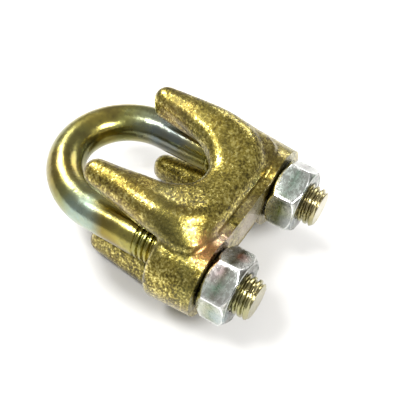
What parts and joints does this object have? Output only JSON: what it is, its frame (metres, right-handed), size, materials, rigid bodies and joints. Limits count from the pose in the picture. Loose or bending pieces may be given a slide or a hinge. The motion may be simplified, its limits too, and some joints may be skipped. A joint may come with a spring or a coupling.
{
  "type": "wire rope clip",
  "caption": "Wire rope clip: a threaded U-bolt through a cast saddle with four horns, clamped on the rope by hexagon nuts.",
  "frame": {"origin": "centre of the bounding box in X and Y, at its lowest point, where the back horns rest", "axes": "+X from the near leg to the far leg, +Y along the legs towards the bow, +Z along the rope's axis, up from the back horns to the front horns"},
  "size_m": [0.0542, 0.068, 0.0346],
  "materials": {
    "saddle_casting": "yellow zinc plate over a fine sand-cast surface, semi-bright and grainy",
    "bolt_rod": "glossy olive-yellow zinc plate with faint blue and green iridescence",
    "nut_plate": "bright silver zinc plate with a faint iridescence"
  },
  "bodies": {
    "saddle": {"saddle": "saddle_casting"},
    "u_bolt": {"u_bolt": "bolt_rod"},
    "nut_near": {"nut_near": "nut_plate"},
    "nut_far": {"nut_far": "nut_plate"}
  },
  "joints": [
    {"name": "u_bolt_slide", "type": "slide", "parent": "saddle", "child": "u_bolt", "axis": [0, 1, 0], "range_m": [-0.018, 0.0042]},
    {"name": "nut_near_spin", "type": "hinge", "parent": "saddle", "child": "nut_near", "pos_m": [-0.016, -0.02205, 0.0173], "axis": [0, 1, 0], "range_deg": [-1008, 4320]},
    {"name": "nut_far_spin", "type": "hinge", "parent": "saddle", "child": "nut_far", "pos_m": [0.016, -0.02205, 0.0173], "axis": [0, 1, 0], "range_deg": [-1008, 4320]}
  ],
  "couplings": [
    {"joint": "nut_near_spin", "follows": "u_bolt_slide", "rad_per_m": -4188.8},
    {"joint": "nut_far_spin", "follows": "u_bolt_slide", "rad_per_m": -4188.8}
  ]
}
